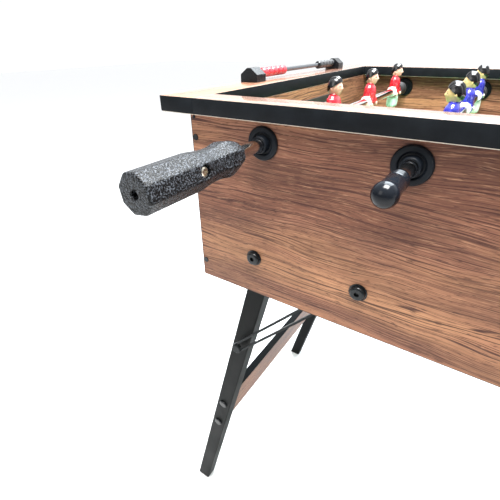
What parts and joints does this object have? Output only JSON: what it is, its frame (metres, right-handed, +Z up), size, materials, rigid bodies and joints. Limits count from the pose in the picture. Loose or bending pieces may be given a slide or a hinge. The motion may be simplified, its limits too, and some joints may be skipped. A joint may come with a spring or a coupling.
{
  "type": "foosball table",
  "caption": "Foosball table with an open walnut-faced cabinet, sliding and spinning rods of men with grips, bead scorers and folding tube legs held by slotted stays.",
  "frame": {"origin": "on the floor under the table's centre", "axes": "+X along the table's length, +Y from the near side to the far side, +Z up"},
  "size_m": [0.9858, 0.934, 0.791],
  "materials": {
    "walnut_laminate": "satin",
    "rail_laminate": "satin",
    "field_print": "satin",
    "plain_board": "matt",
    "bushing_plastic": "satin",
    "goal_plastic": "satin",
    "scorer_plastic": "gloss",
    "bright_rod": "polished",
    "black_hardware": "satin black",
    "bead_red": "gloss",
    "bead_black": "gloss",
    "rod_steel": "polished",
    "red_team": "painted",
    "blue_team": "painted",
    "handle_plastic": "pebbled",
    "cap_rubber": "gloss",
    "bumper_rubber": "matt",
    "bright_screws": "plated",
    "leg_steel": "satin black",
    "foot_plastic": "satin",
    "stay_steel": "satin black"
  },
  "bodies": {
    "cabinet": {"front_panel": "walnut_laminate", "rear_panel": "walnut_laminate", "end_panels": "walnut_laminate", "side_rails": "rail_laminate", "end_rails": "rail_laminate", "playfield": "field_print", "playfield_cleats": "plain_board", "rod_bushings": "bushing_plastic", "goal_boxes": "goal_plastic", "scorer_brackets": "scorer_plastic", "scorer_rods": "bright_rod", "cabinet_fasteners": "black_hardware"},
    "left_red_beads": {"left_red_beads": "bead_red"},
    "left_black_beads": {"left_black_beads": "bead_black"},
    "right_red_beads": {"right_red_beads": "bead_red"},
    "right_black_beads": {"right_black_beads": "bead_black"},
    "rod_1_slider": {"rod_1_bumpers": "bumper_rubber"},
    "rod_1": {"rod_1_shaft": "rod_steel", "rod_1_men": "red_team", "rod_1_handle": "handle_plastic", "rod_1_end_cap": "cap_rubber", "rod_1_screws": "bright_screws"},
    "rod_2_slider": {"rod_2_bumpers": "bumper_rubber"},
    "rod_2": {"rod_2_shaft": "rod_steel", "rod_2_men": "blue_team", "rod_2_handle": "handle_plastic", "rod_2_end_cap": "cap_rubber", "rod_2_screws": "bright_screws"},
    "rod_3_slider": {"rod_3_bumpers": "bumper_rubber"},
    "rod_3": {"rod_3_shaft": "rod_steel", "rod_3_men": "red_team", "rod_3_handle": "handle_plastic", "rod_3_end_cap": "cap_rubber", "rod_3_screws": "bright_screws"},
    "rod_4_slider": {"rod_4_bumpers": "bumper_rubber"},
    "rod_4": {"rod_4_shaft": "rod_steel", "rod_4_men": "blue_team", "rod_4_handle": "handle_plastic", "rod_4_end_cap": "cap_rubber", "rod_4_screws": "bright_screws"},
    "rod_5_slider": {"rod_5_bumpers": "bumper_rubber"},
    "rod_5": {"rod_5_shaft": "rod_steel", "rod_5_men": "red_team", "rod_5_handle": "handle_plastic", "rod_5_end_cap": "cap_rubber", "rod_5_screws": "bright_screws"},
    "rod_6_slider": {"rod_6_bumpers": "bumper_rubber"},
    "rod_6": {"rod_6_shaft": "rod_steel", "rod_6_men": "blue_team", "rod_6_handle": "handle_plastic", "rod_6_end_cap": "cap_rubber", "rod_6_screws": "bright_screws"},
    "left_leg_frame": {"left_leg_tubes": "leg_steel", "left_stretcher": "walnut_laminate", "left_leg_fittings": "foot_plastic"},
    "left_stays": {"left_stays": "stay_steel"},
    "right_leg_frame": {"right_leg_tubes": "leg_steel", "right_stretcher": "walnut_laminate", "right_leg_fittings": "foot_plastic"},
    "right_stays": {"right_stays": "stay_steel"}
  },
  "joints": [
    {"name": "left_red_beads_slide", "type": "slide", "parent": "cabinet", "child": "left_red_beads", "axis": [0, 1, 0], "range_m": [-0.0075, 0.055]},
    {"name": "left_black_beads_slide", "type": "slide", "parent": "cabinet", "child": "left_black_beads", "axis": [0, -1, 0], "range_m": [0, 0.055]},
    {"name": "right_red_beads_slide", "type": "slide", "parent": "cabinet", "child": "right_red_beads", "axis": [0, 1, 0], "range_m": [-0.0075, 0.055]},
    {"name": "right_black_beads_slide", "type": "slide", "parent": "cabinet", "child": "right_black_beads", "axis": [0, -1, 0], "range_m": [0, 0.055]},
    {"name": "rod_1_slide", "type": "slide", "parent": "cabinet", "child": "rod_1_slider", "axis": [0, 1, 0], "range_m": [-0.095, 0.025]},
    {"name": "rod_1_spin", "type": "hinge", "parent": "rod_1_slider", "child": "rod_1", "pos_m": [-0.3125, 0.035, 0.7415], "axis": [0, 1, 0], "continuous": true},
    {"name": "rod_2_slide", "type": "slide", "parent": "cabinet", "child": "rod_2_slider", "axis": [0, 1, 0], "range_m": [-0.095, 0.025]},
    {"name": "rod_2_spin", "type": "hinge", "parent": "rod_2_slider", "child": "rod_2", "pos_m": [-0.1875, 0.035, 0.7415], "axis": [0, 1, 0], "continuous": true},
    {"name": "rod_3_slide", "type": "slide", "parent": "cabinet", "child": "rod_3_slider", "axis": [0, 1, 0], "range_m": [-0.025, 0.095]},
    {"name": "rod_3_spin", "type": "hinge", "parent": "rod_3_slider", "child": "rod_3", "pos_m": [-0.0625, -0.035, 0.7415], "axis": [0, 1, 0], "continuous": true},
    {"name": "rod_4_slide", "type": "slide", "parent": "cabinet", "child": "rod_4_slider", "axis": [0, 1, 0], "range_m": [-0.04, 0.08]},
    {"name": "rod_4_spin", "type": "hinge", "parent": "rod_4_slider", "child": "rod_4", "pos_m": [0.0625, -0.02, 0.7415], "axis": [0, 1, 0], "continuous": true},
    {"name": "rod_5_slide", "type": "slide", "parent": "cabinet", "child": "rod_5_slider", "axis": [0, 1, 0], "range_m": [-0.072, 0.048]},
    {"name": "rod_5_spin", "type": "hinge", "parent": "rod_5_slider", "child": "rod_5", "pos_m": [0.1875, 0.012, 0.7415], "axis": [0, 1, 0], "continuous": true},
    {"name": "rod_6_slide", "type": "slide", "parent": "cabinet", "child": "rod_6_slider", "axis": [0, 1, 0], "range_m": [-0.068, 0.052]},
    {"name": "rod_6_spin", "type": "hinge", "parent": "rod_6_slider", "child": "rod_6", "pos_m": [0.3125, 0.008, 0.7415], "axis": [0, 1, 0], "continuous": true},
    {"name": "left_fold", "type": "hinge", "parent": "cabinet", "child": "left_leg_frame", "pos_m": [-0.323, 0, 0.6205], "axis": [0, -1, 0], "range_deg": [0, 104.2]},
    {"name": "left_stay_turn", "type": "hinge", "parent": "cabinet", "child": "left_stays", "pos_m": [-0.2101, 0, 0.6205], "axis": [0, -1, 0], "range_deg": [0, 132.3]},
    {"name": "right_fold", "type": "hinge", "parent": "cabinet", "child": "right_leg_frame", "pos_m": [0.31617, 0, 0.6475], "axis": [0, 1, 0], "range_deg": [0, 104.2]},
    {"name": "right_stay_turn", "type": "hinge", "parent": "cabinet", "child": "right_stays", "pos_m": [0.20327, 0, 0.6475], "axis": [0, 1, 0], "range_deg": [0, 132.3]}
  ],
  "couplings": [
    {"joint": "left_stay_turn", "follows": "left_fold", "ratio": 1.2689},
    {"joint": "right_stay_turn", "follows": "right_fold", "ratio": 1.2689}
  ]
}
